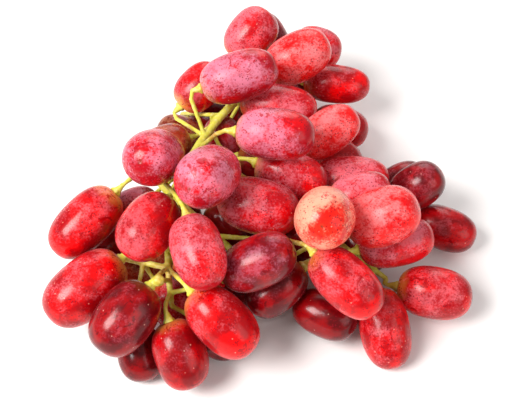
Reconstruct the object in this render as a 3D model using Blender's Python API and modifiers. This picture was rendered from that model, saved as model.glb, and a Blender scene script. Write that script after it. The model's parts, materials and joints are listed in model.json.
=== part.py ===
"""A bunch of oblong table grapes lying on its side on a table.

Every berry is a solid of its own. The green stem (rachis, side branches, pedicels with
their swollen ends, one undeveloped berry and the cut stalk) grew as one piece and is one solid.
The table is z = 0. The berries' places were read along sight lines from one point in front
of the bunch and above it. From there the berries settle until none touches another.
"""

import math
from collections import namedtuple

import bmesh
import bpy
import numpy as np
from mathutils import Vector

MM = 0.001

# Sight lines, in mm: the eye is this far from the middle of the bunch and looks down at it.
SIGHT_DISTANCE = 340.0
SIGHT_ELEVATION = math.radians(52)
MIDDLE_HEIGHT = 28.0
PICTURE_CENTRE_PX = (256, 200)
FOCAL_LENGTH_PX = 900.0

# The berry's outline, in mm: a superellipse turned about the berry's long axis.
OUTLINE_POWER = 2.38
SIDES = 12
OUTLINE_POINTS = 8
STEM_END_RADIUS = 1.9
STEM_GAP = 0.35

# Room kept round every berry, in mm.
BERRY_GAP = 0.5
STEM_ROOM = 1.0
TABLE_GAP = 0.7
REST_DEPTH = 0.9

# The stem, in mm.
STALK_RADIUS = 2.3
RACHIS_RADIUS = 1.7
BRANCH_RADIUS = 1.35
TWIG_RADIUS = 1.0
PEDICEL_RADIUS = 0.75
RECEPTACLE_RADIUS = 1.75
RECEPTACLE_DEPTH = 1.3
PEDICEL_START = 3.6
PEDICEL_POINTS = 3
SHOT_BERRY_RADIUS = 2.2

# Colours, linear: red skins from bright to dark, and the green stem.
SKIN_COLOURS = {"red": (0.52, 0.02, 0.04), "rose": (0.55, 0.09, 0.12), "dark": (0.22, 0.012, 0.03)}
STEM_COLOUR = (0.36, 0.42, 0.06)

# Settling.
BEADS = 7
SETTLE_STEPS = 260
ROUTE_STEPS = 320

Berry = namedtuple("Berry", "name across_px down_px length width turn lean height skin")

# One row for each berry: the centre as seen, length and width in mm, the way that its tip
# points as seen (degrees, anticlockwise from the right), how far the tip leans towards the
# eye (degrees), the height of the centre above the table in mm, and the skin's colour.
BERRIES = (
    # The tip of the bunch, at the back.
    Berry("tip_berry_1", 251, 35, 25.0, 20.0, 50, 0, 36, "rose"),
    Berry("tip_berry_2", 266, 40, 25.5, 20.0, 120, 0, 20, "rose"),
    Berry("tip_berry_3", 317, 48, 21.5, 18.0, -15, 0, 28, "red"),
    Berry("tip_berry_4", 298, 57, 28.0, 20.5, 28, 0, 42, "red"),
    Berry("tip_berry_5", 241, 80, 30.5, 19.5, 15, 0, 50, "rose"),
    Berry("tip_berry_6", 200, 88, 22.5, 17.5, 45, 0, 34, "red"),
    Berry("tip_berry_7", 336, 86, 28.5, 16.5, -5, 0, 24, "red"),
    Berry("tip_berry_8", 277, 103, 31.0, 18.0, -12, 0, 40, "rose"),
    Berry("tip_berry_9", 275, 140, 29.0, 19.0, -6, 0, 50, "rose"),
    Berry("tip_berry_10", 340, 125, 24.5, 17.5, -20, 0, 14, "red"),
    Berry("tip_berry_11", 330, 138, 27.0, 17.5, 43, 0, 36, "red"),
    Berry("tip_berry_12", 216, 113, 25.5, 19.0, 0, 0, 12, "dark"),
    Berry("tip_berry_13", 182, 134, 20.5, 17.0, 160, 0, 13, "dark"),
    Berry("tip_berry_14", 167, 149, 20.0, 17.0, 200, 20, 31, "red"),
    Berry("tip_berry_15", 231, 143, 24.0, 17.0, -60, -50, 20, "dark"),
    Berry("tip_berry_16", 250, 86, 24.0, 18.0, 20, -15, 9, "dark"),
    Berry("tip_berry_17", 286, 100, 24.0, 18.0, 10, 0, 11, "dark"),
    # The middle, in front of the cut stalk.
    Berry("middle_berry_1", 157, 160, 28.0, 20.0, 200, 72, 57, "rose"),
    Berry("middle_berry_2", 208, 181, 28.0, 20.5, 205, 55, 53, "rose"),
    Berry("middle_berry_3", 211, 168, 21.5, 16.5, 0, 0, 23, "dark"),
    Berry("middle_berry_4", 250, 160, 22.0, 17.0, -20, 0, 17, "dark"),
    Berry("middle_berry_5", 257, 207, 30.0, 20.5, -20, 0, 41, "rose"),
    Berry("middle_berry_6", 290, 193, 28.0, 18.0, -42, 0, 29, "rose"),
    Berry("middle_berry_7", 260, 264, 27.5, 18.5, 18, 0, 34, "dark"),
    Berry("middle_berry_8", 283, 281, 24.5, 17.0, 225, 0, 20, "dark"),
    Berry("middle_berry_9", 285, 301, 20.0, 16.0, 245, 0, 10, "dark"),
    Berry("middle_berry_10", 246, 292, 22.0, 17.0, -20, 0, 10, "dark"),
    Berry("middle_berry_11", 228, 224, 22.0, 17.5, -45, 0, 17, "dark"),
    Berry("middle_berry_12", 306, 240, 22.5, 18.5, -60, 0, 21, "dark"),
    # The right wing.
    Berry("right_berry_1", 338, 155, 21.5, 17.0, -40, 0, 12, "dark"),
    Berry("right_berry_2", 348, 175, 30.0, 18.0, -8, 0, 30, "red"),
    Berry("right_berry_3", 325, 218, 28.0, 20.5, 250, 78, 55, "rose"),
    Berry("right_berry_4", 358, 192, 23.0, 16.0, 10, 0, 32, "rose"),
    Berry("right_berry_5", 382, 220, 27.0, 20.5, 20, 15, 41, "rose"),
    Berry("right_berry_6", 390, 249, 28.0, 18.0, 20, 0, 25, "rose"),
    Berry("right_berry_7", 402, 185, 23.0, 17.0, 30, 0, 13, "dark"),
    Berry("right_berry_8", 417, 188, 22.5, 17.5, 35, 20, 23, "dark"),
    Berry("right_berry_9", 443, 227, 26.0, 17.0, -22, 0, 11, "dark"),
    Berry("right_berry_10", 346, 282, 29.5, 18.0, -44, 0, 38, "red"),
    Berry("right_berry_11", 434, 293, 27.5, 19.3, -10, 0, 14, "red"),
    Berry("right_berry_12", 378, 326, 29.5, 18.3, -74, 0, 11, "red"),
    Berry("right_berry_13", 353, 291, 19.0, 15.5, -80, 0, 11, "dark"),
    Berry("right_berry_14", 323, 307, 24.5, 17.0, -25, 0, 14, "dark"),
    Berry("right_berry_15", 361, 250, 22.0, 17.0, -40, 0, 11, "dark"),
    # The left wing.
    Berry("left_berry_1", 153, 227, 26.0, 19.5, 235, 28, 47, "red"),
    Berry("left_berry_2", 205, 252, 26.5, 18.0, -70, 10, 43, "red"),
    Berry("left_berry_3", 88, 226, 31.0, 19.0, 230, 0, 32, "red"),
    Berry("left_berry_4", 85, 286, 32.5, 21.5, 223, 0, 25, "red"),
    Berry("left_berry_5", 129, 316, 27.5, 20.5, 232, 0, 25, "dark"),
    Berry("left_berry_6", 148, 354, 20.5, 16.5, -75, 0, 10, "dark"),
    Berry("left_berry_7", 180, 349, 25.0, 18.5, -68, -10, 14, "red"),
    Berry("left_berry_8", 214, 322, 29.0, 19.0, -42, 0, 26, "red"),
    Berry("left_berry_9", 209, 340, 20.0, 16.5, -30, 0, 9, "dark"),
    Berry("left_berry_10", 192, 282, 20.5, 16.0, -30, 0, 16, "dark"),
    Berry("left_berry_11", 181, 304, 20.5, 16.0, -60, 0, 10, "dark"),
    Berry("left_berry_12", 146, 275, 21.0, 17.0, 200, 0, 11, "dark"),
    Berry("left_berry_13", 108, 240, 22.5, 17.5, 230, 0, 12, "dark"),
    Berry("left_berry_14", 180, 222, 21.5, 17.0, -80, 0, 18, "dark"),
    Berry("left_berry_15", 134, 213, 19.5, 16.0, 200, 0, 22, "dark"),
)

# The berries that carry the bunch, round its weight.
RESTING = ("left_berry_6", "right_berry_12", "tip_berry_16")

# The berries that the others hide, which give way the most when two berries touch.
BEHIND = (
    "tip_berry_12", "tip_berry_15", "tip_berry_17", "middle_berry_3", "middle_berry_4",
    "middle_berry_8", "middle_berry_9", "middle_berry_10", "middle_berry_11", "middle_berry_12",
    "right_berry_15", "right_berry_1", "right_berry_7", "right_berry_13", "left_berry_9", "left_berry_10",
    "left_berry_11", "left_berry_12", "left_berry_13", "left_berry_14", "left_berry_15",
)
YIELDING = 4.0

Branch = namedtuple("Branch", "name radius_start radius_end points")

# The branches: (across_px, down_px, height in mm) of the points that each runs through.
BRANCHES = (
    Branch("stalk", STALK_RADIUS, RACHIS_RADIUS, ((150, 166, 38), (160, 182, 36), (172, 196, 31))),
    Branch("rachis", RACHIS_RADIUS, BRANCH_RADIUS,
           ((172, 196, 31), (176, 176, 34), (181, 155, 38), (189, 134, 41), (204, 117, 40),
            (222, 103, 37), (245, 91, 33), (266, 78, 29), (280, 68, 25))),
    Branch("left_branch", BRANCH_RADIUS, TWIG_RADIUS,
           ((172, 196, 31), (168, 218, 33), (163, 240, 34), (161, 262, 32), (163, 279, 28),
            (168, 294, 23), (172, 306, 19))),
    Branch("middle_branch", BRANCH_RADIUS, TWIG_RADIUS,
           ((172, 196, 31), (194, 214, 28), (220, 240, 24), (250, 264, 20), (280, 290, 14))),
    Branch("right_branch", BRANCH_RADIUS, TWIG_RADIUS,
           ((189, 134, 41), (203, 149, 38), (222, 172, 29), (248, 196, 24), (286, 212, 23),
            (324, 232, 22), (350, 256, 18), (370, 269, 15), (387, 279, 13))),
    Branch("right_twig", TWIG_RADIUS, TWIG_RADIUS,
           ((286, 212, 23), (330, 204, 20), (375, 205, 17))),
    Branch("left_twig", TWIG_RADIUS, TWIG_RADIUS,
           ((161, 262, 31), (138, 262, 26), (120, 258, 20))),
)

# One berry on the left wing never grew: a small bead on its own short pedicel.
SHOT_BERRY = (153, 287, 33)
SHOT_PEDICEL_START = (161, 274, 30)

ACROSS = np.array((1.0, 0.0, 0.0))
UP = np.array((0.0, math.sin(SIGHT_ELEVATION), math.cos(SIGHT_ELEVATION)))
TOWARDS_EYE = np.array((0.0, -math.cos(SIGHT_ELEVATION), math.sin(SIGHT_ELEVATION)))
EYE = np.array((0.0, 0.0, MIDDLE_HEIGHT)) + SIGHT_DISTANCE * TOWARDS_EYE


def sight_line(across_px, down_px):
    """The direction of the sight line through a point of the picture."""
    across = (across_px - PICTURE_CENTRE_PX[0]) / FOCAL_LENGTH_PX
    down = (down_px - PICTURE_CENTRE_PX[1]) / FOCAL_LENGTH_PX
    return -TOWARDS_EYE + across * ACROSS - down * UP


def seen_point(across_px, down_px, height):
    """The point of a sight line that is at a height above the table."""
    line = sight_line(across_px, down_px)
    return EYE + line * (height - EYE[2]) / line[2]


def seen_axis(berry):
    """The direction of a berry's tip, square to its own sight line but for the lean."""
    line = sight_line(berry.across_px, berry.down_px)
    line /= np.linalg.norm(line)
    right = ACROSS - line * (ACROSS @ line)
    right /= np.linalg.norm(right)
    up = np.cross(right, line)
    turn = math.radians(berry.turn)
    lean = math.radians(berry.lean)
    flat = math.cos(turn) * right + math.sin(turn) * up
    return math.cos(lean) * flat - math.sin(lean) * line


def outline_radius(along, length, width):
    """The berry's radius at a distance from its middle."""
    share = np.clip(np.abs(2 * along / length), 0, 1)
    return width / 2 * (1 - share ** OUTLINE_POWER) ** (1 / OUTLINE_POWER)


def berry_beads(berry):
    """Balls that fill a berry and its receptacle: their places on its axis and their radii."""
    along = np.linspace(-berry.length / 2, berry.length / 2, 201)
    radius = outline_radius(along, berry.length, berry.width)
    reach = berry.length / 2 - 0.36 * berry.width
    places = np.linspace(-reach, reach, BEADS)
    radii = np.sqrt((along[None] - places[:, None]) ** 2 + radius[None] ** 2).min(axis=1)
    stem_places = (-berry.length / 2 - 1.2, -berry.length / 2 - PEDICEL_START)
    stem_radii = (RECEPTACLE_RADIUS, PEDICEL_RADIUS + 0.2)
    return np.append(places, stem_places), np.append(radii, stem_radii)


class Bunch:
    """The berries as chains of balls on their axes, and the stem as rows of small balls."""

    def __init__(self):
        self.centres = np.array([seen_point(b.across_px, b.down_px, b.height) for b in BERRIES])
        self.axes = np.array([seen_axis(b) for b in BERRIES])
        beads = [berry_beads(b) for b in BERRIES]
        self.bead_places = np.array([b[0] for b in beads])
        self.bead_radii = np.array([b[1] for b in beads])
        self.turning = np.array([(b.length ** 2 + b.width ** 2) / 5 for b in BERRIES])
        self.resting = np.array([b.name in RESTING for b in BERRIES])
        self.yielding = np.array([YIELDING if b.name in BEHIND else 1.0 for b in BERRIES])
        self.floor = np.full(self.bead_places.shape, TABLE_GAP)
        self.floor[self.resting, :BEADS] = -REST_DEPTH
        self.points = np.zeros((0, 3))
        self.point_radii = np.zeros(0)
        self.homing = np.zeros(0)
        self.rows = {}
        self.links = np.zeros((0, 3), int)
        self.tied = np.zeros((0, 2), int)
        self.following = np.zeros((0, 2), int)

    def beads(self):
        """Where every ball of every berry is."""
        return self.centres[:, None] + self.bead_places[..., None] * self.axes[:, None]

    def stem_end(self, number, distance):
        """A point on a berry's axis at a distance outside its stem end."""
        return self.centres[number] - (BERRIES[number].length / 2 + distance) * self.axes[number]

    def add_row(self, name, points, radii, homing, start=None, berry=None):
        """Add a row of stem balls that may start at an older ball and end at a berry."""
        first = len(self.points)
        self.points = np.vstack((self.points, points))
        self.point_radii = np.append(self.point_radii, radii)
        self.homing = np.append(self.homing, np.full(len(points), homing))
        row = list(range(first, first + len(points)))
        if start is not None:
            row.insert(0, start)
        self.rows[name] = row
        inner = [(row[k - 1], row[k], row[k + 1]) for k in range(1, len(row) - 1)]
        if inner:
            self.links = np.vstack((self.links, inner))
        if berry is not None:
            self.tied = np.vstack((self.tied, (row[-1], berry)))
            self.following = np.vstack((self.following, (row[-2], berry)))

    def nearest_ball(self, place):
        """The number of the stem ball nearest to a place."""
        return int(((self.points - place) ** 2).sum(axis=1).argmin())

    def add_branches(self):
        """Lay each branch through its points, starting on the branch that it grows from."""
        for branch in BRANCHES:
            path = smooth_path([seen_point(*p) for p in branch.points])
            radii = np.linspace(branch.radius_start, branch.radius_end, len(path))
            if self.rows:
                start = self.nearest_ball(path[0])
                self.add_row(branch.name, path[1:], radii[1:], 1.0, start=start)
            else:
                self.add_row(branch.name, path, radii, 1.0)
        self.branch_balls = len(self.points)
        start = self.nearest_ball(seen_point(*SHOT_PEDICEL_START))
        end = seen_point(*SHOT_BERRY)
        path = [self.points[start] + share * (end - self.points[start]) for share in (0.35, 0.7, 1.0)]
        radii = (PEDICEL_RADIUS, PEDICEL_RADIUS, SHOT_BERRY_RADIUS)
        self.add_row("shot_pedicel", path, radii, 1.0, start=start)

    def add_pedicels(self):
        """Join each berry to the branch ball that its stem end looks towards."""
        branches = self.points[:self.branch_balls].copy()
        for number, berry in enumerate(BERRIES):
            end = self.stem_end(number, PEDICEL_START)
            away = branches - end
            distance = np.linalg.norm(away, axis=1)
            facing = -(away @ self.axes[number]) / (distance + 1e-9)
            cost = distance * (1.6 - facing)
            start = int(cost.argmin())
            reach = 0.4 * distance[start]
            bend = end - reach * self.axes[number]
            share = np.linspace(0, 1, PEDICEL_POINTS + 2)[1:, None]
            path = (1 - share) ** 2 * branches[start] + 2 * share * (1 - share) * bend + share ** 2 * end
            radii = np.full(len(path), PEDICEL_RADIUS)
            self.add_row("pedicel_" + berry.name, path, radii, 0.0, start=start, berry=number)

    def push_berries_apart(self, places):
        """Each berry's share of its overlaps with others, and what it does to its turn."""
        count, beads_each = self.bead_places.shape
        radii = self.bead_radii.reshape(-1)
        apart = places[:, None] - places[None]
        distance = np.sqrt((apart ** 2).sum(axis=-1)) + 1e-9
        depth = radii[:, None] + radii[None] + BERRY_GAP - distance
        by_pair = depth.reshape(count, beads_each, count, beads_each).transpose(0, 2, 1, 3)
        by_pair = by_pair.reshape(count, count, -1)
        deepest = by_pair.argmax(axis=-1)
        amount = np.take_along_axis(by_pair, deepest[..., None], axis=-1)[..., 0]
        np.fill_diagonal(amount, 0)
        mine, theirs = np.nonzero(amount > 0)
        first = mine * beads_each + deepest[mine, theirs] // beads_each
        second = theirs * beads_each + deepest[mine, theirs] % beads_each
        way = apart[first, second] / distance[first, second][:, None]
        share = self.yielding[mine] / (self.yielding[mine] + self.yielding[theirs])
        shove = way * (amount[mine, theirs] * share)[:, None]
        push = np.zeros((count, 3))
        twist = np.zeros((count, 3))
        np.add.at(push, mine, shove)
        np.add.at(twist, mine, np.cross(places[first] - self.centres[mine], shove))
        self.worst = amount.max()
        return push, twist

    def push_stem_clear(self, places, push, twist):
        """Most of each overlap between the stem and a berry moves the stem."""
        beads_each = self.bead_places.shape[1]
        body = np.arange(len(places)) % beads_each < BEADS
        owner = np.repeat(np.arange(len(self.centres)), beads_each)
        radii = self.bead_radii.reshape(-1)
        apart = self.points[:, None] - places[None]
        distance = np.sqrt((apart ** 2).sum(axis=-1)) + 1e-9
        depth = radii[None] + self.point_radii[:, None] + STEM_ROOM - distance
        depth[:, ~body] = 0
        for ball, berry in self.tied:
            depth[ball, owner == berry] = 0
        point, bead = np.nonzero(depth > 0)
        shove = apart[point, bead] / distance[point, bead][:, None] * depth[point, bead][:, None]
        point_push = np.zeros_like(self.points)
        np.add.at(point_push, point, 0.3 * shove)
        share = 0.12 * shove
        np.add.at(push, owner[bead], -share)
        np.add.at(twist, owner[bead], -np.cross(places[bead] - self.centres[owner[bead]], share))
        self.stem_worst = depth.max()
        return np.clip(point_push, -0.8, 0.8)

    def settle(self, steps, hold):
        """Push whatever touches apart, most of the way along the sight lines at first."""
        count = len(BERRIES)
        home = self.centres.copy()
        home_axes = self.axes.copy()
        home_points = self.points.copy()
        for step in range(steps):
            late = step > 0.7 * steps
            pull = 0.0 if late else hold * (1 - step / (0.7 * steps))
            places = self.beads().reshape(-1, 3)
            push, twist = self.push_berries_apart(places)
            point_push = self.push_stem_clear(places, push, twist)
            bottoms = places[:, 2].reshape(count, -1) - self.bead_radii
            sunk = self.floor - bottoms
            lowest = sunk.argmax(axis=1)
            lift = np.zeros((count, 3))
            lift[:, 2] = np.where(self.resting, sunk.max(axis=1), np.maximum(sunk.max(axis=1), 0))
            push += lift
            arm = self.bead_places[np.arange(count), lowest][:, None] * self.axes
            twist += np.cross(arm, lift)
            along = (push @ TOWARDS_EYE)[:, None] * TOWARDS_EYE
            sideways = 1.0 if late else 0.35
            self.centres += 0.6 * (along + sideways * (push - along)) + pull * (home - self.centres)
            spin = 0.6 * twist / self.turning[:, None]
            self.axes += np.cross(spin, self.axes) + pull * (home_axes - self.axes)
            self.axes /= np.linalg.norm(self.axes, axis=1, keepdims=True)
            point_push[:, 2] += np.maximum(TABLE_GAP + self.point_radii - self.points[:, 2], 0)
            self.points += point_push
            self.points += pull * self.homing[:, None] * (home_points - self.points)
            before, inner, after = self.links.T
            middle = (self.points[before] + self.points[after]) / 2
            stiffness = (0.12 if late else 0.3) * (1 - 0.5 * self.homing[inner])[:, None]
            self.points[inner] += stiffness * (middle - self.points[inner])
            for ball, berry in self.following:
                straight = self.stem_end(berry, 2 * PEDICEL_START)
                self.points[ball] += (0.04 if late else 0.3) * (straight - self.points[ball])
            for ball, berry in self.tied:
                self.points[ball] = self.stem_end(berry, PEDICEL_START)
        return self.worst, self.stem_worst


def smooth_path(points, spacing=5.0):
    """A curve through the points (Catmull-Rom), with a point about every few millimetres."""
    points = np.array(points)
    padded = np.vstack((2 * points[0] - points[1], points, 2 * points[-1] - points[-2]))
    path = [points[0]]
    for a, b, c, d in zip(padded, padded[1:], padded[2:], padded[3:]):
        count = max(1, round(np.linalg.norm(c - b) / spacing))
        for step in range(1, count + 1):
            t = step / count
            path.append(0.5 * (2 * b + (c - a) * t + (2 * a - 5 * b + 4 * c - d) * t ** 2
                               + (3 * b - a - 3 * c + d) * t ** 3))
    return np.array(path)


def grow_bunch():
    """Settle the berries round the branches, then run a pedicel to each and settle again."""
    bunch = Bunch()
    bunch.add_branches()
    bunch.settle(SETTLE_STEPS, 0.03)
    bunch.add_pedicels()
    bunch.settle(ROUTE_STEPS, 0.02)
    return bunch


def fresh_collection(name, is_cutter=False):
    """A collection of the scene; cutters and the stem's loose pieces stay out of renders."""
    collection = bpy.data.collections.new(name)
    bpy.context.scene.collection.children.link(collection)
    collection.hide_render = is_cutter
    return collection


def surface(name, colour, roughness):
    """A plain Principled surface."""
    material = bpy.data.materials.new(name)
    material.use_nodes = True
    shader = material.node_tree.nodes["Principled BSDF"]
    shader.inputs["Base Color"].default_value = (*colour, 1.0)
    shader.inputs["Roughness"].default_value = roughness
    return material


def berry_outline(berry):
    """Half the berry's outline, from the flat at its stem end down to its tip, in mm."""
    half = berry.length / 2
    flat_share = (2 * STEM_END_RADIUS / berry.width) ** OUTLINE_POWER
    flat_height = half * (1 - flat_share) ** (1 / OUTLINE_POWER)
    first_angle = math.acos((flat_height / half) ** (OUTLINE_POWER / 2))
    outline = [(0.0, flat_height)]
    for angle in np.linspace(first_angle, math.pi, OUTLINE_POINTS):
        radius = berry.width / 2 * math.sin(angle) ** (2 / OUTLINE_POWER)
        height = half * abs(math.cos(angle)) ** (2 / OUTLINE_POWER)
        outline.append((radius, math.copysign(height, math.cos(angle))))
    outline[-1] = (0.0, -half)
    return outline


def make_berry(berry, centre, axis, collection, parent, material):
    """Turn the outline about the long axis and lay the berry in its place."""
    outline = berry_outline(berry)
    mesh = bpy.data.meshes.new(berry.name)
    corners = [(radius * MM, 0.0, height * MM) for radius, height in outline]
    edges = [(k, k + 1) for k in range(len(corners) - 1)]
    mesh.from_pydata(corners, edges, [])
    body = bpy.data.objects.new(berry.name, mesh)
    collection.objects.link(body)
    body.parent = parent
    screw = body.modifiers.new("Turn", "SCREW")
    screw.steps = SIDES
    screw.render_steps = SIDES
    screw.use_merge_vertices = True
    screw.merge_threshold = 0.0001
    screw.use_normal_calculate = True
    body.rotation_mode = "QUATERNION"
    body.rotation_quaternion = Vector((0.0, 0.0, -1.0)).rotation_difference(Vector(axis))
    body.location = Vector(centre) * MM
    mesh.materials.append(material)
    return body


def cut_flat(body, cutters):
    """Cut a resting berry flat where it meets the table."""
    mesh = bpy.data.meshes.new(body.name + "_table")
    grid = bmesh.new()
    bmesh.ops.create_cube(grid, size=1.0)
    bmesh.ops.scale(grid, vec=(0.06, 0.06, 0.01), verts=grid.verts)
    bmesh.ops.translate(grid, vec=(body.location.x, body.location.y, -0.005), verts=grid.verts)
    grid.to_mesh(mesh)
    grid.free()
    block = bpy.data.objects.new(mesh.name, mesh)
    block.parent = body.parent
    block.display_type = "WIRE"
    cutters.objects.link(block)
    cut = body.modifiers.new("Flat", "BOOLEAN")
    cut.object = block
    cut.operation = "DIFFERENCE"


def make_tube(name, path, radii, sides, collection):
    """A closed tube through the points, in mm, with a radius at each."""
    curve = bpy.data.curves.new(name, "CURVE")
    curve.dimensions = "3D"
    curve.bevel_depth = MM
    curve.bevel_resolution = (sides - 4) // 2
    curve.use_fill_caps = True
    spline = curve.splines.new("POLY")
    spline.points.add(len(path) - 1)
    for point, place, radius in zip(spline.points, path, radii):
        point.co = (*(Vector(place) * MM), 1.0)
        point.radius = radius
    rod = bpy.data.objects.new(name, curve)
    collection.objects.link(rod)
    evaluated = rod.evaluated_get(bpy.context.evaluated_depsgraph_get())
    mesh = bpy.data.meshes.new_from_object(evaluated)
    tube = bpy.data.objects.new(name + "_tube", mesh)
    collection.objects.link(tube)
    bpy.data.objects.remove(rod)
    grid = bmesh.new()
    grid.from_mesh(mesh)
    bmesh.ops.remove_doubles(grid, verts=grid.verts, dist=0.00001)
    bmesh.ops.recalc_face_normals(grid, faces=grid.faces)
    grid.to_mesh(mesh)
    grid.free()
    return tube


def make_ball(name, centre, radius, collection):
    """A small round bead, in mm."""
    mesh = bpy.data.meshes.new(name)
    grid = bmesh.new()
    bmesh.ops.create_icosphere(grid, subdivisions=1, radius=radius * MM)
    bmesh.ops.translate(grid, vec=Vector(centre) * MM, verts=grid.verts)
    grid.to_mesh(mesh)
    grid.free()
    ball = bpy.data.objects.new(name, mesh)
    collection.objects.link(ball)
    return ball


def make_stem(bunch, collection, parent, material):
    """Fuse the branches, the pedicels with their receptacles and the shot berry."""
    pieces = fresh_collection("stem_pieces", is_cutter=True)
    trunk = None
    for branch in BRANCHES:
        row = bunch.rows[branch.name]
        radii = bunch.point_radii[row].copy()
        radii[-1] *= 0.8
        tube = make_tube(branch.name, bunch.points[row], radii, 8, pieces)
        trunk = trunk or tube
    for number, berry in enumerate(BERRIES):
        row = bunch.rows["pedicel_" + berry.name]
        path = list(bunch.points[row])
        path.append(bunch.stem_end(number, STEM_GAP + RECEPTACLE_DEPTH))
        path.append(bunch.stem_end(number, STEM_GAP))
        flat_drop = berry.length / 2 - berry_outline(berry)[0][1]
        path[-1] = path[-1] + flat_drop * bunch.axes[number]
        radii = [PEDICEL_RADIUS] * (len(path) - 2) + [1.25, RECEPTACLE_RADIUS]
        radii[0] = 0.95
        make_tube("pedicel_" + berry.name, path, radii, 6, pieces)
    row = bunch.rows["shot_pedicel"]
    make_tube("shot_pedicel", bunch.points[row], [PEDICEL_RADIUS] * len(row), 6, pieces)
    make_ball("shot_berry", bunch.points[row[-1]], SHOT_BERRY_RADIUS, pieces)

    stem = bpy.data.objects.new("stem", trunk.data.copy())
    collection.objects.link(stem)
    bpy.data.objects.remove(trunk)
    fuse = stem.modifiers.new("Fuse", "BOOLEAN")
    fuse.operation = "UNION"
    fuse.operand_type = "COLLECTION"
    fuse.collection = pieces
    fuse.solver = "EXACT"
    evaluated = stem.evaluated_get(bpy.context.evaluated_depsgraph_get())
    fused = bpy.data.meshes.new_from_object(evaluated)
    stem.modifiers.clear()
    stem.data = fused
    fused.name = "stem"
    fused.materials.clear()
    fused.materials.append(material)
    for piece in list(pieces.objects):
        bpy.data.objects.remove(piece)
    bpy.data.collections.remove(pieces)
    stem.parent = parent
    return stem


def main():
    for leftover in list(bpy.data.objects):
        bpy.data.objects.remove(leftover)
    bunch = grow_bunch()
    collection = fresh_collection("bunch_of_grapes")
    cutters = fresh_collection("cutters", is_cutter=True)
    whole = bpy.data.objects.new("bunch_of_grapes", None)
    collection.objects.link(whole)

    bodies = []
    for number, berry in enumerate(BERRIES):
        skin = surface("skin_" + berry.name, SKIN_COLOURS[berry.skin], 0.38)
        centre = bunch.centres[number]
        body = make_berry(berry, centre, bunch.axes[number], collection, whole, skin)
        bodies.append(body)
        if berry.name in RESTING:
            cut_flat(body, cutters)
    green = surface("green_stem", STEM_COLOUR, 0.55)
    stem = make_stem(bunch, collection, whole, green)

    # The middle of the whole bunch stands over the origin, and the resting flats are at z = 0.
    bpy.context.view_layer.update()
    graph = bpy.context.evaluated_depsgraph_get()
    corners = []
    for body in bodies + [stem]:
        shape = body.evaluated_get(graph)
        corners += [body.matrix_world @ vertex.co for vertex in shape.data.vertices]
    corners = np.array(corners)
    middle = (corners.min(axis=0) + corners.max(axis=0)) / 2
    whole.location = (-middle[0], -middle[1], 0.0)
    bpy.context.view_layer.update()


if __name__ == "__main__":
    main()
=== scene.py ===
"""The looks of a bunch of red table grapes lying on a pale table.

Each berry's place, direction and size are read from its solid in the frame, and a fine skin
takes the solid's place. The stem is a smoothed copy of its solid, with a collar at each berry.
"""

import json
import math

import bmesh
import bpy
import numpy as np
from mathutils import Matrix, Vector


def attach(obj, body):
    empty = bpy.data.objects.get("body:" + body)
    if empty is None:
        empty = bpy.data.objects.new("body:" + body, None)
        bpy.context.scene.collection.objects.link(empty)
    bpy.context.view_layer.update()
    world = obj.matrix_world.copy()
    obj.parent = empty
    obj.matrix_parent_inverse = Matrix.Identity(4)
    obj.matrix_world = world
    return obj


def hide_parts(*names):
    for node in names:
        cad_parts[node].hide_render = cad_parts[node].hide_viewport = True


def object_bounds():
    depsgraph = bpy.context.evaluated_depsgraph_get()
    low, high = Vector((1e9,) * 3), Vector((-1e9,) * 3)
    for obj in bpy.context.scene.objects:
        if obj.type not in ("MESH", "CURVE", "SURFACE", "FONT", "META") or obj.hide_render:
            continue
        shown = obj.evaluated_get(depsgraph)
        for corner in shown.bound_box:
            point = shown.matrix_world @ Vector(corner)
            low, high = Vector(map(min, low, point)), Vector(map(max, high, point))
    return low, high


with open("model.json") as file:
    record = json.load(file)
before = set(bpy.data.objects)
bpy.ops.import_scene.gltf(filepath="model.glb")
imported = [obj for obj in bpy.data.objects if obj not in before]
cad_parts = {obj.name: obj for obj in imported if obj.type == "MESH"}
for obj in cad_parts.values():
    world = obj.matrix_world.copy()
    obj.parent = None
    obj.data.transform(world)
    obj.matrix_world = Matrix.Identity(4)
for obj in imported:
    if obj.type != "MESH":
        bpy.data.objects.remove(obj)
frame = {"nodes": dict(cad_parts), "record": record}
FRAME_BOX = [list(corner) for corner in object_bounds()]

bl_info = {
    "name": "Bunch of grapes",
    "version": (1, 0, 0),
    "blender": (4, 5, 0),
    "location": "View3D > Sidebar > Grapes",
    "description": "Skins, stem and table for a bunch of red table grapes",
    "category": "Object",
}

MM = 0.001
PICTURE_WIDTH = 512

# The solids' outline: a superellipse of this power, cut flat at the stem end.
SOLID_POWER = 2.38
SOLID_FLAT_RADIUS = 1.9 * MM
# How a solid is read: how near an end its corners count as the end's, how often the width is
# fitted, within what share of the half length, and which percentile of the rings it follows.
END_BAND = 0.35 * MM
FIT_ROUNDS = 4
FIT_SHARE = 0.6
FIT_PERCENTILE = 60

# A berry's skin: rows along it, points round it, and how far the rows crowd at both ends.
BERRY_ROWS, BERRY_COLUMNS = 54, 64
ROW_CROWDING = 0.62
BERRY_SEED = 11
# Low waves of its shape and of its bloom: how many go round, how many half waves go along, and
# their height, for the shape as a share of the unevenness.
SHAPE_WAVES = ((2, 1, 0.55), (3, 1, 0.35), (1, 2, 0.4), (2, 3, 0.3), (5, 2, 0.16))
BLOOM_WAVES = ((1, 1, 0.09), (2, 1, 0.09), (2, 2, 0.09), (3, 3, 0.09))
# The hollow round the stem end, and the scar at the tip, with its rim in scar radii.
HOLLOW_RADIUS = 2.4 * MM
SCAR_DEPTH = 0.14 * MM
RIM_HEIGHT = 0.05 * MM
RIM_PLACE, RIM_WIDTH = 1.6, 0.5
# The rubbed place: how far it lies from the tip towards the outside, and how wide it is.
RUBBED_ASIDE, RUBBED_WIDTH = 0.8, 0.3

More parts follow.
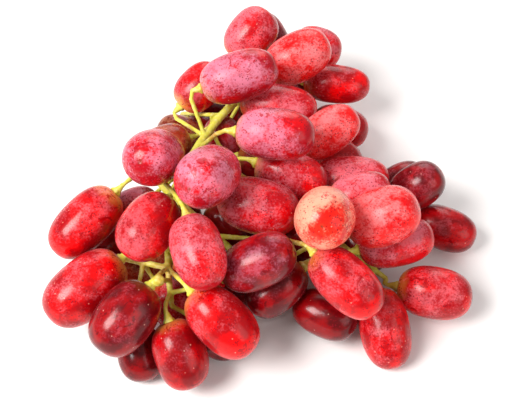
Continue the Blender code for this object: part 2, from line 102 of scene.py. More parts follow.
# The collar at a berry's stem end: distance out from the stem end and radius, in mm, for each
# ring of its profile. The whole is then sunk into the berry a little.
COLLAR_PROFILE = np.array(((-0.55, 1.35), (-0.25, 1.95), (0.15, 2.15), (0.6, 1.95), (1.1, 1.55),
                           (1.7, 1.2), (2.4, 0.98), (3.1, 0.85))) * MM
COLLAR_COLUMNS = 24
COLLAR_SEED = 500
COLLAR_SINK = 0.15 * MM
# Where along a collar its bumps are highest, and how soon they fade.
BUMPS_PLACE, BUMPS_WIDTH = 0.3 * MM, 0.9 * MM

# Each finish: ripe skin, bright skin, dust of wax on it, and how far the dust has covered it.
FINISHES = {
    "scarlet": ("#A2020A", "#DE0408", "#F07480", 0.14),
    "peach": ("#D8180E", "#F22A18", "#FFD0AC", 0.66),
    "coral": ("#D41014", "#F21410", "#FF9EA0", 0.40),
    "rose": ("#B40614", "#DC060C", "#EE8C9C", 0.33),
    "lavender": ("#A80618", "#D40610", "#EA9CB8", 0.46),
    "crimson": ("#800208", "#BA040A", "#CC5460", 0.04),
    "maroon": ("#5C0208", "#94040A", "#B44C5A", 0.04),
    # Garnet: a deep red, painted darker still as shade for berries that lie in the bunch's shadow.
    "garnet_shaded": ("#560206", "#860408", "#9C3844", -0.16),
    "plum": ("#6C0410", "#9E080E", "#C26A80", 0.24),
    "umber": ("#6C1C0E", "#A02C14", "#CC8A64", 0.26),
}

# The finish of each berry. A berry's place in this list also gives its seed.
FINISH_OF = {
    "tip_berry_1": "rose", "tip_berry_2": "plum", "tip_berry_3": "rose", "tip_berry_4": "coral",
    "tip_berry_5": "lavender", "tip_berry_6": "scarlet", "tip_berry_7": "scarlet",
    "tip_berry_8": "rose", "tip_berry_9": "lavender", "tip_berry_10": "scarlet",
    "tip_berry_11": "coral", "tip_berry_12": "garnet_shaded", "tip_berry_13": "umber",
    "tip_berry_14": "umber", "tip_berry_15": "plum", "tip_berry_16": "maroon",
    "tip_berry_17": "maroon",
    "middle_berry_1": "lavender", "middle_berry_2": "lavender", "middle_berry_3": "plum",
    "middle_berry_4": "garnet_shaded", "middle_berry_5": "rose", "middle_berry_6": "rose",
    "middle_berry_7": "plum", "middle_berry_8": "maroon", "middle_berry_9": "garnet_shaded",
    "middle_berry_10": "garnet_shaded", "middle_berry_11": "garnet_shaded", "middle_berry_12": "garnet_shaded",
    "right_berry_1": "scarlet", "right_berry_2": "rose", "right_berry_3": "peach",
    "right_berry_4": "rose", "right_berry_5": "coral", "right_berry_6": "rose",
    "right_berry_7": "maroon", "right_berry_8": "maroon", "right_berry_9": "crimson",
    "right_berry_10": "scarlet", "right_berry_11": "scarlet", "right_berry_12": "scarlet",
    "right_berry_13": "maroon", "right_berry_14": "garnet_shaded",
    "left_berry_1": "scarlet", "left_berry_2": "rose", "left_berry_3": "scarlet",
    "left_berry_4": "scarlet", "left_berry_5": "maroon", "left_berry_6": "garnet_shaded",
    "left_berry_7": "crimson", "left_berry_8": "scarlet", "left_berry_9": "garnet_shaded",
    "left_berry_10": "scarlet", "left_berry_11": "rose", "left_berry_12": "umber",
    "left_berry_13": "maroon", "left_berry_14": "maroon", "left_berry_15": "plum",
    "right_berry_15": "garnet_shaded",
}

# How strong the yellow halo is at the stem end, where it shows; elsewhere it is drawn at random.
HALO_OF = {
    "tip_berry_1": 0.55, "tip_berry_4": 0.3, "tip_berry_6": 1.0, "tip_berry_9": 0.35,
    "tip_berry_11": 0.7,
    "middle_berry_5": 0.4, "middle_berry_6": 0.7, "middle_berry_7": 0.1,
    "right_berry_9": 0.0, "right_berry_10": 0.35, "right_berry_11": 1.0, "right_berry_12": 0.2,
    "right_berry_14": 0.0,
    "left_berry_1": 0.0, "left_berry_2": 0.1, "left_berry_3": 0.75, "left_berry_4": 0.45,
    "left_berry_5": 0.1, "left_berry_7": 0.4, "left_berry_8": 0.55, "left_berry_10": 0.9,
    "left_berry_12": 1.0,
}

# How far the bloom is rubbed off beside the tip of a berry; elsewhere it is drawn at random.
# Less than nothing means that the tip has kept more bloom than the rest.
RUBBED_OF = {
    "tip_berry_1": 0.3, "tip_berry_4": 0.2, "tip_berry_5": 0.5, "tip_berry_8": 0.3,
    "tip_berry_9": 0.9, "tip_berry_11": 0.5,
    "middle_berry_1": 0.5, "middle_berry_2": 0.2, "middle_berry_5": 0.25, "middle_berry_7": 0.2,
    "right_berry_3": 0.9, "right_berry_5": 0.3, "right_berry_6": 0.3, "right_berry_10": 0.5,
    "right_berry_11": 0.1, "right_berry_12": 0.3,
    "left_berry_1": -0.4, "left_berry_2": 0.3, "left_berry_4": 0.4, "left_berry_7": 0.9,
    "left_berry_8": 0.8,
}

# The way that the skins with the most pale dust face: up, to the left and a little to the front,
# towards the window lamp. The extra dust there is partly real settled bloom, partly painted sheen.
BLOOM_AND_SHEEN_SIDE = np.array((-0.46, -0.24, 0.85))

# Settings that several nodes of the materials share.
SMOOTH = {"interpolation_type": "SMOOTHSTEP"}
RGBA = {"data_type": "RGBA"}

# The lamps: name, place, width, watts and colour.
LAMPS = (
    ("window", (-0.55, -0.35, 0.75), 0.45, 13.5, (1.0, 0.98, 0.97)),
    ("fill", (0.6, -0.5, 0.5), 0.6, 2.2, (1.0, 1.0, 1.0)),
    ("back", (0.1, 0.8, 0.5), 0.6, 3.4, (1.0, 1.0, 1.0)),
)
LAMPS_AIM = Vector((0.0, 0.0, 0.03))
CAMERA_AIM = Vector((-0.0054, -0.0194, 0.028))
SENSOR_WIDTH = 36.0
TABLE_HALF = 2.0
ROOM_LIGHT = 0.44

SLOT_OF_NODE = {part["node"]: part["material_slot"] for part in frame["record"]["subparts"]}


def linear(hex_colour):
    """An sRGB hex colour as linear red, green and blue."""
    parts = [int(hex_colour[k:k + 2], 16) / 255 for k in (1, 3, 5)]
    return tuple(p / 12.92 if p <= 0.04045 else ((p + 0.055) / 1.055) ** 2.4 for p in parts)


def add_node(tree, kind, output, settings=None, **links):
    """Add a node with its settings and links, and return one of its outputs.

    A setting is an input's name or number, or a property's name, with its value. A link is an
    input's name, or _ and its number, with the socket that it comes from.
    """
    node = tree.nodes.new("ShaderNode" + kind)
    for name, value in (settings or {}).items():
        if isinstance(name, int) or name in node.inputs:
            node.inputs[name].default_value = value
        else:
            setattr(node, name, value)
    for name, source in links.items():
        key = int(name[1:]) if name[1:].isdigit() else name
        tree.links.new(source, node.inputs[key])
    return node.outputs[output]


class BerrySettings(bpy.types.PropertyGroup):
    """Sizes and colours of the berries."""

    power: bpy.props.FloatProperty(
        name="Bluntness", description="Power of the superellipse that a berry's outline follows",
        default=2.42, min=2.0, max=3.0)
    unevenness: bpy.props.FloatProperty(
        name="Unevenness", description="How far a skin swells or sinks from its outline",
        default=0.14 * MM, unit="LENGTH")
    dimple: bpy.props.FloatProperty(
        name="Dimple", description="Depth of the hollow round the stem end",
        default=0.5 * MM, unit="LENGTH")
    scar: bpy.props.FloatProperty(
        name="Scar", description="Radius of the scar at the tip",
        default=0.42 * MM, unit="LENGTH")
    # Extra pale dust on the side facing the window lamp: partly real settled bloom, partly painted
    # sheen.
    settled_bloom_and_sheen: bpy.props.FloatProperty(
        name="Settled bloom", description="How much more bloom there is on the upper side",
        default=0.40, min=0.0, max=1.0, subtype="FACTOR")
    halo: bpy.props.FloatVectorProperty(
        name="Halo", description="Colour round the stem end, where a berry ripens last",
        default=linear("#F2A64C"), subtype="COLOR", size=3, min=0, max=1)


class StemSettings(bpy.types.PropertyGroup):
    """Sizes and colours of the stem."""

    grain: bpy.props.FloatProperty(
        name="Grain", description="Size of the cells that the stem's surface is made even with",
        default=0.36 * MM, unit="LENGTH")
    swelling: bpy.props.FloatProperty(
        name="Swelling", description="How far the stem's skin stands out from its solid",
        default=0.18 * MM, unit="LENGTH")
    knobs: bpy.props.FloatProperty(
        name="Knobs", description="Height of the knobs along the stem",
        default=0.20 * MM, unit="LENGTH")
    green: bpy.props.FloatVectorProperty(
        name="Green", description="Colour of the fresh stem",
        default=linear("#D6D24A"), subtype="COLOR", size=3, min=0, max=1)
    brown: bpy.props.FloatVectorProperty(
        name="Brown", description="Colour where the stem has begun to turn woody",
        default=linear("#B4792F"), subtype="COLOR", size=3, min=0, max=1)


class StageSettings(bpy.types.PropertyGroup):
    """The table, the light and the camera."""

    distance: bpy.props.FloatProperty(
        name="Camera distance", description="From the camera to the middle of the bunch",
        default=340 * MM, unit="LENGTH")
    elevation: bpy.props.FloatProperty(
        name="Camera elevation", description="Angle of the camera above the table",
        default=math.radians(52), unit="ROTATION")
    focal_px: bpy.props.FloatProperty(
        name="Focal length", description="Focal length in pixels of a picture 512 pixels wide",
        default=900.0, subtype="PIXEL")
    table: bpy.props.FloatVectorProperty(
        name="Table", description="Colour of the table",
        default=linear("#F4F2F0"), subtype="COLOR", size=3, min=0, max=1)


def unique_points(node):
    """A node's corners, each once, in metres."""
    mesh = frame["nodes"][node].data
    points = np.zeros(len(mesh.vertices) * 3, np.float32)
    mesh.vertices.foreach_get("co", points)
    rounded = np.round(points.reshape(-1, 3).astype(float), 6)
    return np.unique(rounded, axis=0)


def read_berry(node):
    """Centre, tip direction, length and width of a berry, from the corners of its solid.

    The long axis is the first principal axis of the corners. One end is a single corner, the
    tip, and the other a ring round the flat at the stem. The width is fitted to the rings with
    the superellipse's own formula, and the length follows from where the flat cuts the outline.
    """
    points = unique_points(node)
    middle = points.mean(axis=0)
    axis = np.linalg.svd(points - middle, full_matrices=False)[2][0]
    along = (points - middle) @ axis
    ends = [np.abs(along - along.max()) < END_BAND, np.abs(along - along.min()) < END_BAND]
    if ends[0].sum() > ends[1].sum():
        axis, along = -axis, -along
        ends.reverse()
    tip = points[along.argmax()]
    flat = points[ends[1]].mean(axis=0)
    axis = (tip - flat) / np.linalg.norm(tip - flat)
    reach = (tip - flat) @ axis
    offset = points - flat
    along = offset @ axis
    radius = np.linalg.norm(offset - along[:, None] * axis, axis=1)
    width = 2 * radius.max()
    for _ in range(FIT_ROUNDS):
        cut = (1 - (2 * SOLID_FLAT_RADIUS / width) ** SOLID_POWER) ** (1 / SOLID_POWER)
        length = 2 * reach / (1 + cut)
        share = np.abs(along - reach + length / 2) * 2 / length
        near = share < FIT_SHARE
        outline = (1 - share[near] ** SOLID_POWER) ** (1 / SOLID_POWER)
        width = 2 * np.percentile(radius[near] / outline, FIT_PERCENTILE)
    return tip - axis * length / 2, axis, length, width


def side_axes(axis):
    """Two directions square to an axis and to each other."""
    helper = np.array((0.0, 0.0, 1.0)) if abs(axis[2]) < 0.9 else np.array((0.0, 1.0, 0.0))
    first = np.cross(helper, axis)
    first /= np.linalg.norm(first)
    return first, np.cross(axis, first)


def closed_faces(rows, columns):
    """Quads between rings of points, and the fans of triangles that close the two ends.

    The points are numbered ring by ring, and the two end points come last.
    """
    row, here = np.meshgrid(np.arange(rows - 1), np.arange(columns), indexing="ij")
    after = (here + 1) % columns
    quads = np.stack((row * columns + here, (row + 1) * columns + here,
                      (row + 1) * columns + after, row * columns + after), axis=-1)
    here, after = here[0], after[0]
    last = (rows - 1) * columns
    start, stop = np.full(columns, rows * columns), np.full(columns, rows * columns + 1)
    fans = np.vstack((np.stack((start, here, after), axis=-1),
                      np.stack((stop, last + after, last + here), axis=-1)))
    return quads.reshape(-1, 4), fans


def shade_smooth(mesh):
    """Shade every face smooth."""
    mesh.polygons.foreach_set("use_smooth", np.ones(len(mesh.polygons), bool))
    mesh.update()


def smooth_mesh(name, points, faces):
    """A smooth mesh of an array of points and a list of faces."""
    mesh = bpy.data.meshes.new(name)
    mesh.from_pydata(points.tolist(), [], faces)
    shade_smooth(mesh)
    return mesh


def set_attribute(mesh, name, rings, ends):
    """Store one number for each corner of the mesh: the rings' first, then the two ends'."""
    attribute = mesh.attributes.new(name, "FLOAT", "POINT")
    attribute.data.foreach_set("value", np.append(rings.ravel(), ends).astype(np.float32))


def set_colour(mesh, name, colour):
    """Store one colour for the whole mesh, at each corner."""
    attribute = mesh.attributes.new(name, "FLOAT_COLOR", "POINT")
    values = np.tile((*colour, 1.0), (len(mesh.vertices), 1)).astype(np.float32)
    attribute.data.foreach_set("color", values.ravel())


def finish_piece(name, mesh, material, slot, *nodes):
    """Make an object of the mesh that rides the bunch and stands for its nodes."""
    mesh.materials.append(material)
    piece = bpy.data.objects.new(name, mesh)
    bpy.context.scene.collection.objects.link(piece)
    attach(piece, "root")
    if nodes:
        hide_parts(*nodes)


def bell(value, middle, width):
    """A bell curve: exp(-((value - middle) / width)^2)."""
    return np.exp(-((value - middle) / width) ** 2)


def low_waves(draw, table, angle, t):
    """The sum of height * cos(m * angle + turn) * cos(n * t + shift), turn and shift drawn."""
    total = np.zeros_like(t)
    for round_count, along_count, height in table:
        turn, shift = draw.uniform(0, 2 * math.pi, 2)
        total += height * np.cos(round_count * angle + turn) * np.cos(along_count * t + shift)
    return total


def make_berry(node, seed, settings, material):
    """The fine skin of one berry.

    Along the axis the place is the half length times cos(t) to the power 2/p, and the radius the
    half width times sin(t) to the power 2/p, for t from 0 at the stem to pi at the tip, with
    rows closer together at both ends. The radius grows towards one end by a share of cos(t), and
    swells and sinks by a few low waves round and along the berry. A bell curve sinks the stem
    end, and a small one the scar at the tip. The table presses the lowest skins flat, and a
    skin that stands out of the bunch's box is moved in by as much.
    """
    draw = np.random.default_rng(seed)
    centre, axis, length, width = read_berry(node)
    share = np.linspace(0, 1, BERRY_ROWS + 2)[1:-1]
    t = math.pi * (share - ROW_CROWDING * np.sin(2 * math.pi * share) / (2 * math.pi))
    angle = np.linspace(0, 2 * math.pi, BERRY_COLUMNS, endpoint=False)
    t, angle = np.meshgrid(t, angle, indexing="ij")
    power = 2 / settings.power
    along = -length / 2 * np.sign(np.cos(t)) * np.abs(np.cos(t)) ** power
    taper = 1 + draw.uniform(-0.03, 0.03) * np.cos(t)
    radius = width / 2 * np.sin(t) ** power * taper
    waves = low_waves(draw, SHAPE_WAVES, angle, t)
    radius = radius + settings.unevenness * waves * np.sin(t)

    at_stem = np.cos(t) > 0
    hollow = settings.dimple * bell(radius, 0, HOLLOW_RADIUS) * at_stem
    scar = bell(radius, 0, settings.scar) * ~at_stem
    rim = bell(radius / settings.scar, RIM_PLACE, RIM_WIDTH) * ~at_stem
    along = along + hollow - SCAR_DEPTH * scar + RIM_HEIGHT * rim

    first, second = side_axes(axis)
    out = np.cos(angle)[..., None] * first + np.sin(angle)[..., None] * second
    rings = centre + along[..., None] * axis + radius[..., None] * out
    rings[..., 2] = np.maximum(rings[..., 2], 0)
    low, high = (np.array(corner) for corner in FRAME_BOX)
    inset = np.maximum(low - rings.min((0, 1)), 0) - np.maximum(rings.max((0, 1)) - high, 0)
    rings += inset
    centre = centre + inset
    stem_end = centre + (settings.dimple - length / 2) * axis
    tip = centre + (length / 2 - SCAR_DEPTH) * axis
    quads, fans = closed_faces(BERRY_ROWS, BERRY_COLUMNS)
    points = np.vstack((rings.reshape(-1, 3), (stem_end, tip)))
    mesh = smooth_mesh(node + "_skin", points, quads.tolist() + fans.tolist())

    ripe, bright, dust, cover = FINISHES[FINISH_OF[node]]
    for name, colour in (("ripe", ripe), ("bright", bright), ("dust", dust)):
        set_colour(mesh, name, linear(colour))
    set_attribute(mesh, "ripeness", 0.5 + along / length, (0.0, 1.0))
    set_attribute(mesh, "scar", scar + 0.5 * rim, (0.0, 1.0))

    # Pale dust is laid thicker on the side facing up, left and front, where the window lamp lights
    # it:
    # partly real settled bloom, partly painted sheen. Hands have rubbed some off the outer side of
    # the tip.
    facing = (along[..., None] * axis / (length / 2) ** 2
              + radius[..., None] * out / (width / 2) ** 2)
    facing /= np.linalg.norm(facing, axis=-1, keepdims=True)
    dust_and_sheen = cover + draw.uniform(-0.05, 0.05) + settings.settled_bloom_and_sheen * (facing @ BLOOM_AND_SHEEN_SIDE)
    rubbed = RUBBED_OF.get(node, draw.uniform(0.05, 0.45))
    touched = axis + RUBBED_ASIDE * centre / np.linalg.norm(centre)
    touched /= np.linalg.norm(touched)
    dust_and_sheen -= rubbed * bell(facing @ touched, 1, RUBBED_WIDTH)
    dust_and_sheen += low_waves(draw, BLOOM_WAVES, angle, t)
    set_attribute(mesh, "dust_and_sheen", dust_and_sheen, (dust_and_sheen[0].mean(), dust_and_sheen[-1].mean()))
    halo = HALO_OF.get(node, draw.uniform(0.0, 0.5))
    set_attribute(mesh, "halo", np.full(t.shape, halo), (halo, halo))
    finish_piece(node + "_skin", mesh, material, SLOT_OF_NODE[node], node)


def new_material(name):
    """A material, its node tree and its surface shader."""
    material = bpy.data.materials.new(name)
    material.use_nodes = True
    tree = material.node_tree
    return material, tree, tree.nodes["Principled BSDF"]


def set_inputs(shader, values):
    """Set inputs of a shader by name."""
    for name, value in values.items():
        shader.inputs[name].default_value = value


def grape_skin(name, settings):
    """Grape skin: a thin taut skin over clear flesh, with a waxy bloom that grew on it.

    To the eye: saturated red that glows a little, under pale dusty wax where nothing has rubbed
    it, with the wax laid thicker on the lamp-lit side as painted sheen, stippled and blotched with
    crimson, with pale dots that are partly painted glints, and paler and yellower at the stem.
    """
    material, tree, shader = new_material(name)
    place = add_node(tree, "TexCoord", "Object")
    ripe, bright, dust = (add_node(tree, "Attribute", "Color", {"attribute_name": key})
                          for key in ("ripe", "bright", "dust"))
    dust_and_sheen, ripeness, scar, strength = (add_node(tree, "Attribute", "Fac", {"attribute_name": key})
                                      for key in ("dust_and_sheen", "ripeness", "scar", "halo"))

    # Patches 8 mm across where the skin is brighter or deeper.
    patches = add_node(tree, "TexNoise", "Fac", {"Scale": 1000 / 8, "Detail": 3}, Vector=place)
    share = add_node(tree, "MapRange", "Result", SMOOTH | {"From Min": 0.40, "From Max": 0.62},
                     Value=patches)
    skin = add_node(tree, "Mix", 2, RGBA, _0=share, _6=ripe, _7=bright)

    # The halo: the last part before the stem, with an uneven edge.
    edge = add_node(tree, "Math", 0, {"operation": "MULTIPLY_ADD", 1: 0.30},
                    _0=patches, _2=ripeness)
    near = add_node(tree, "MapRange", "Result", SMOOTH | {
        "From Min": 0.14, "From Max": 0.32, "To Min": 0.9, "To Max": 0}, Value=edge)
    share = add_node(tree, "Math", 0, {"operation": "MULTIPLY"}, _0=near, _1=strength)
    skin = add_node(tree, "Mix", 2, RGBA | {7: (*settings.halo, 1.0)}, _0=share, _6=skin)

    # Bloom: the dust attribute, which also carries painted sheen on the lamp-lit side, broken by
    # rubbed places 7 mm, mottles 3 mm and stipple 0.8 mm across.
    thickest = 0.53
    level = dust_and_sheen
    for size_mm, detail, roughness, distortion, weight in (
            (7.0, 3, 0.55, 0.4, 1.5), (3.0, 4, 0.62, 0.5, 1.0), (0.8, 2, 0.6, 0.0, 1.1)):
        spots = add_node(tree, "TexNoise", "Fac", {
            "Scale": 1000 / size_mm, "Detail": detail, "Roughness": roughness,
            "Distortion": distortion}, Vector=place)
        level = add_node(tree, "Math", 0, {"operation": "MULTIPLY_ADD", 1: weight},
                         _0=spots, _2=level)
    bloom = add_node(tree, "MapRange", "Result", SMOOTH | {
        "From Min": 2.02, "From Max": 2.88, "To Max": thickest}, Value=level)
    skin = add_node(tree, "Mix", 2, RGBA, _0=bloom, _6=skin, _7=dust)

    # Blotches 4 mm across, deep crimson, where the skin was bruised or grew thicker.
    spots = add_node(tree, "TexNoise", "Fac", {
        "Scale": 1000 / 4.2, "Detail": 5, "Roughness": 0.68, "Distortion": 0.9}, Vector=place)
    share = add_node(tree, "MapRange", "Result", SMOOTH | {
        "From Min": 0.580, "From Max": 0.622, "To Max": 0.82}, Value=spots)
    skin = add_node(tree, "Mix", 2, RGBA, _0=share, _6=skin, _7=ripe)

    # Pores: dark dots up to 0.5 mm wide and about 1 mm apart, thick in some places and faint in
    # others. Real ones are finer, but wouldn't show.
    cells = add_node(tree, "TexVoronoi", "Distance", {"Scale": 1000 / 1.0}, Vector=place)
    dots = add_node(tree, "MapRange", "Result", SMOOTH | {
        "From Min": 0.18, "From Max": 0.33, "To Min": 1, "To Max": 0}, Value=cells)
    spots = add_node(tree, "TexNoise", "Fac", {"Scale": 1000 / 6, "Detail": 2}, Vector=place)
    crowd = add_node(tree, "MapRange", "Result", SMOOTH | {
        "From Min": 0.38, "From Max": 0.56, "To Min": 0.22, "To Max": 0.90}, Value=spots)
    share = add_node(tree, "Math", 0, {"operation": "MULTIPLY"}, _0=dots, _1=crowd)
    skin = add_node(tree, "Mix", 2, RGBA | {7: (*linear("#7A0818"), 1.0)}, _0=share, _6=skin)

    # Pale dots up to 0.5 mm wide and about 3.5 mm apart, partly pale pores and partly painted
    # glints of light, and the brown scar at the tip.
    cells = add_node(tree, "TexVoronoi", "Distance", {"Scale": 1000 / 3.5}, Vector=place)
    share = add_node(tree, "MapRange", "Result", SMOOTH | {
        "From Min": 0.045, "From Max": 0.090, "To Min": 0.42, "To Max": 0}, Value=cells)
    skin = add_node(tree, "Mix", 2, RGBA | {7: (*linear("#F6BCA8"), 1.0)}, _0=share, _6=skin)
    skin = add_node(tree, "Mix", 2, RGBA | {7: (*linear("#84341E"), 1.0)}, _0=scar, _6=skin)
    tree.links.new(skin, shader.inputs["Base Color"])

    # Rubbed skin is glossy and bloom is matt. The flesh below lets red light through.
    matt = add_node(tree, "MapRange", "Result", SMOOTH | {
        "From Max": thickest, "To Min": 0.20, "To Max": 0.38}, Value=bloom)
    tree.links.new(matt, shader.inputs["Roughness"])
    set_inputs(shader, {
        "IOR": 1.42, "Specular IOR Level": 0.36,
        "Subsurface Weight": 0.22, "Subsurface Radius": (1.0, 0.18, 0.12),
        "Subsurface Scale": 2.2 * MM,
        "Sheen Weight": 0.08, "Sheen Roughness": 0.35, "Sheen Tint": (*linear("#F4C6CE"), 1.0)})

    # Skin relief too fine to model, 0.05 mm high and 0.7 mm across.
    grain = add_node(tree, "TexNoise", "Fac", {"Scale": 1000 / 0.7, "Detail": 2}, Vector=place)
    relief = add_node(tree, "Bump", "Normal", {"Strength": 0.4, "Distance": 0.05 * MM},
                      Height=grain)
    tree.links.new(relief, shader.inputs["Normal"])
    return material


def stem_skin(settings):
    """Fresh grape stem: soft green wood with a thin ridged skin.

    To the eye: bright yellow-green with paler knobs, brownish where it has begun to dry, matt
    with a faint shine along the ridges.
    """
    material, tree, shader = new_material("fresh_stem")
    place = add_node(tree, "TexCoord", "Object")

    # Woody stretches 16 mm long.
    spots = add_node(tree, "TexNoise", "Fac", {"Scale": 1000 / 16, "Detail": 3}, Vector=place)
    share = add_node(tree, "MapRange", "Result", {
        "From Min": 0.50, "From Max": 0.68, "To Max": 0.8}, Value=spots)
    wood = add_node(tree, "Mix", 2, RGBA | {
        6: (*settings.green, 1.0), 7: (*settings.brown, 1.0)}, _0=share)

    # Pale flecks 1.6 mm across, with relief of 0.1 mm.
    flecks = add_node(tree, "TexNoise", "Fac", {"Scale": 1000 / 1.6, "Detail": 3}, Vector=place)
    share = add_node(tree, "MapRange", "Result", {
        "From Min": 0.48, "From Max": 0.66, "To Max": 0.65}, Value=flecks)
    wood = add_node(tree, "Mix", 2, RGBA | {7: (*linear("#E4E08A"), 1.0)}, _0=share, _6=wood)
    tree.links.new(wood, shader.inputs["Base Color"])
    relief = add_node(tree, "Bump", "Normal", {"Strength": 0.5, "Distance": 0.1 * MM},
                      Height=flecks)
    tree.links.new(relief, shader.inputs["Normal"])
    set_inputs(shader, {
        "Roughness": 0.48, "Subsurface Weight": 0.12, "Subsurface Radius": (0.8, 1.0, 0.3),
        "Subsurface Scale": 0.8 * MM})
    return material


def table_paint(settings):
    """White paint, rolled on a smooth table. To the eye: nearly white, with no shine."""
    material, _, shader = new_material("pale_table")
    set_inputs(shader, {"Base Color": (*settings.table, 1.0), "Roughness": 0.7})
    return material


def material_once(name, make):
    """The material of that name, made the first time it is asked for."""
    return bpy.data.materials.get(name) or make()


def make_berries(group, context):
    """Every berry of one part of the bunch."""
    settings = context.scene.grape_berries
    for number, node in enumerate(FINISH_OF):
        if node.startswith(group):
            name = SLOT_OF_NODE[node] + "_under_bloom"
            material = material_once(name, lambda: grape_skin(name, settings))
            make_berry(node, BERRY_SEED + number, settings, material)


class GRAPES_OT_tip_berries(bpy.types.Operator):
    """Make the berries at the tip of the bunch"""

    bl_idname = "grapes.tip_berries"
    bl_label = "Tip berries"

    def execute(self, context):
        make_berries("tip", context)
        return {"FINISHED"}


class GRAPES_OT_middle_berries(bpy.types.Operator):
    """Make the berries in the middle of the bunch"""

    bl_idname = "grapes.middle_berries"
    bl_label = "Middle berries"

    def execute(self, context):
        make_berries("middle", context)
        return {"FINISHED"}


class GRAPES_OT_right_berries(bpy.types.Operator):
    """Make the berries of the right wing"""

    bl_idname = "grapes.right_berries"
    bl_label = "Right berries"

    def execute(self, context):
        make_berries("right", context)
        return {"FINISHED"}


class GRAPES_OT_left_berries(bpy.types.Operator):
    """Make the berries of the left wing"""

    bl_idname = "grapes.left_berries"
    bl_label = "Left berries"

    def execute(self, context):
        make_berries("left", context)
        return {"FINISHED"}


def smoothed_stem(settings):
    """A merged copy of the stem's solid, made of even cells and smoothed."""
    grid = bmesh.new()
    grid.from_mesh(frame["nodes"]["stem"].data)
    bmesh.ops.remove_doubles(grid, verts=grid.verts, dist=0.002 * MM)
    mesh = bpy.data.meshes.new("stem_rough")
    grid.to_mesh(mesh)
    grid.free()
    rough = bpy.data.objects.new("stem_rough", mesh)
    bpy.context.scene.collection.objects.link(rough)
    even = rough.modifiers.new("Even cells", "REMESH")
    even.mode = "VOXEL"
    even.voxel_size = settings.grain
    smooth = rough.modifiers.new("Smooth", "SMOOTH")
    smooth.factor = 0.5
    smooth.iterations = 5
    evaluated = rough.evaluated_get(bpy.context.evaluated_depsgraph_get())
    skin = bpy.data.meshes.new_from_object(evaluated)
    bpy.data.objects.remove(rough)
    return skin


def lumps(points, size):
    """Smooth lumps, mostly from -1 to 1 and about as wide as size: a sum of products of sines."""
    total = np.zeros(len(points))
    for factor, turn in ((1.0, 0.0), (1.7, 1.3), (2.9, 4.1)):
        x, y, z = (points * (2 * math.pi * factor / size)).T
        total += (np.sin(x + 1.3 * y + turn) * np.sin(y - 0.7 * z + 2 * turn)
                  * np.sin(z + 0.4 * x + 3 * turn)) / factor
    return total / 1.2


class GRAPES_OT_stem(bpy.types.Operator):
    """Make the stem: the even skin moves out along its normals by the swelling plus lumps"""

    bl_idname = "grapes.stem"
    bl_label = "Stem"

    def execute(self, context):
        settings = context.scene.grape_stem
        mesh = smoothed_stem(settings)
        mesh.name = "stem_skin"
        count = len(mesh.vertices)
        points = np.zeros(count * 3)
        normals = np.zeros(count * 3)
        mesh.vertices.foreach_get("co", points)
        mesh.vertices.foreach_get("normal", normals)
        points, normals = points.reshape(-1, 3), normals.reshape(-1, 3)
        # Knobs 6.5 mm across, with lumps 2.4 mm across on them.
        knobs = 0.6 * lumps(points, 6.5 * MM) + 0.4 * lumps(points, 2.4 * MM)
        height = settings.swelling + settings.knobs * knobs
        points = points + normals * height[:, None]
        mesh.vertices.foreach_set("co", points.ravel())
        mesh.materials.clear()
        shade_smooth(mesh)
        material = material_once("fresh_stem", lambda: stem_skin(settings))
        finish_piece("stem_skin", mesh, material, SLOT_OF_NODE["stem"], "stem")
        return {"FINISHED"}


class GRAPES_OT_collars(bpy.types.Operator):
    """Make the collar at each berry's stem end: a flared profile turned about the berry's axis"""

    bl_idname = "grapes.collars"
    bl_label = "Collars"

    def execute(self, context):
        settings = context.scene.grape_stem
        angle = np.linspace(0, 2 * math.pi, COLLAR_COLUMNS, endpoint=False)
        distance, flare = COLLAR_PROFILE.T
        quads, fans = closed_faces(len(distance), COLLAR_COLUMNS)
        fade = bell(distance, BUMPS_PLACE, BUMPS_WIDTH)
        points, faces = [], []
        for number, node in enumerate(FINISH_OF):
            draw = np.random.default_rng(COLLAR_SEED + number)
            centre, axis, length, _ = read_berry(node)
            one, two = side_axes(axis)
            # Five and nine low bumps go round it.
            turn = draw.uniform(0, 2 * math.pi, 2)
            bumps = 0.09 * np.cos(5 * angle + turn[0]) + 0.05 * np.cos(9 * angle + turn[1])
            radius = flare[:, None] * (1 + bumps * fade[:, None])
            out = -(length / 2 + distance - COLLAR_SINK)
            rings = (centre + out[:, None, None] * axis + (radius * np.cos(angle))[..., None] * one
                     + (radius * np.sin(angle))[..., None] * two)
            ends = (centre + out[-1] * axis, centre + out[0] * axis)
            first = sum(len(collar) for collar in points)
            points.append(np.vstack((rings[::-1].reshape(-1, 3), ends)))
            faces += (quads + first).tolist() + (fans + first).tolist()
        mesh = smooth_mesh("collars", np.vstack(points), faces)
        material = material_once("fresh_stem", lambda: stem_skin(settings))
        finish_piece("collars", mesh, material, SLOT_OF_NODE["stem"])
        return {"FINISHED"}


def add_lamp(name, place, aim, size, watts, colour):
    """A square soft lamp that shines from one place to another."""
    lamp = bpy.data.lights.new(name, "AREA")
    lamp.size = size
    lamp.energy = watts
    lamp.color = colour
    body = bpy.data.objects.new(name, lamp)
    body.location = place
    body.rotation_mode = "QUATERNION"
    body.rotation_quaternion = (Vector(aim) - Vector(place)).to_track_quat("-Z", "Y")
    bpy.context.scene.collection.objects.link(body)


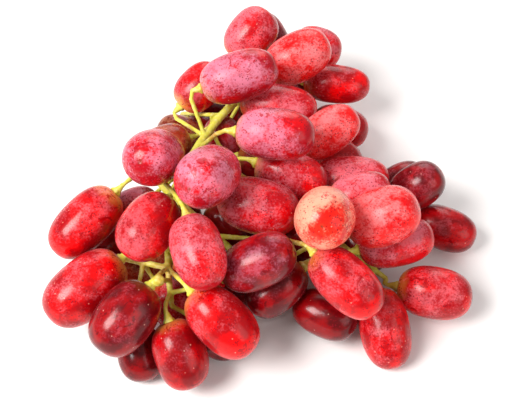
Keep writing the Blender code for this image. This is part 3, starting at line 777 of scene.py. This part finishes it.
class GRAPES_OT_stage(bpy.types.Operator):
    """Lay the table, hang the lamps and place the camera"""

    bl_idname = "grapes.stage"
    bl_label = "Stage"

    def execute(self, context):
        settings = context.scene.grape_stage
        scene = context.scene
        half = TABLE_HALF
        corners = [(-half, -half, 0), (half, -half, 0), (half, half, 0), (-half, half, 0)]
        mesh = bpy.data.meshes.new("table")
        mesh.from_pydata(corners, [], [(0, 1, 2, 3)])
        mesh.materials.append(table_paint(settings))
        table = bpy.data.objects.new("table", mesh)
        scene.collection.objects.link(table)

        scene.world = bpy.data.worlds.new("white_room")
        scene.world.use_nodes = True
        set_inputs(scene.world.node_tree.nodes["Background"],
                   {"Color": (*linear("#FBFAFA"), 1.0), "Strength": ROOM_LIGHT})
        for name, place, size, watts, colour in LAMPS:
            add_lamp(name, place, LAMPS_AIM, size, watts, colour)

        towards = Vector((0.0, -math.cos(settings.elevation), math.sin(settings.elevation)))
        lens = bpy.data.cameras.new("camera")
        lens.sensor_width = SENSOR_WIDTH
        lens.lens = settings.focal_px / PICTURE_WIDTH * SENSOR_WIDTH
        camera = bpy.data.objects.new("camera", lens)
        camera.location = CAMERA_AIM + settings.distance * towards
        camera.rotation_mode = "QUATERNION"
        camera.rotation_quaternion = (-towards).to_track_quat("-Z", "Y")
        scene.collection.objects.link(camera)
        scene.camera = camera
        scene.view_settings.view_transform = "Standard"
        return {"FINISHED"}


class GRAPES_PT_panel(bpy.types.Panel):
    """Lists the bunch's pieces and their settings"""

    bl_idname = "GRAPES_PT_panel"
    bl_label = "Bunch of grapes"
    bl_space_type = "VIEW_3D"
    bl_region_type = "UI"
    bl_category = "Grapes"

    def draw(self, context):
        for step in STEPS:
            self.layout.operator(step.bl_idname)
        for name in SETTINGS:
            group = getattr(context.scene, name)
            for key in group.bl_rna.properties.keys():
                if key not in ("rna_type", "name"):
                    self.layout.prop(group, key)


STEPS = (GRAPES_OT_tip_berries, GRAPES_OT_middle_berries, GRAPES_OT_right_berries,
         GRAPES_OT_left_berries, GRAPES_OT_stem, GRAPES_OT_collars, GRAPES_OT_stage)
SETTINGS = {"grape_berries": BerrySettings, "grape_stem": StemSettings,
            "grape_stage": StageSettings}


def register():
    """Register the settings, the operators and the panel."""
    for name, group in SETTINGS.items():
        bpy.utils.register_class(group)
        setattr(bpy.types.Scene, name, bpy.props.PointerProperty(type=group))
    for step in (*STEPS, GRAPES_PT_panel):
        bpy.utils.register_class(step)


def unregister():
    """Take away what register added."""
    for step in (GRAPES_PT_panel, *reversed(STEPS)):
        bpy.utils.unregister_class(step)
    for name, group in SETTINGS.items():
        delattr(bpy.types.Scene, name)
        bpy.utils.unregister_class(group)


def main():
    """Run each step in order."""
    register()
    for step in STEPS:
        group, name = step.bl_idname.split(".")
        getattr(getattr(bpy.ops, group), name)()
    bpy.context.view_layer.update()


if __name__ == "__main__":
    main()
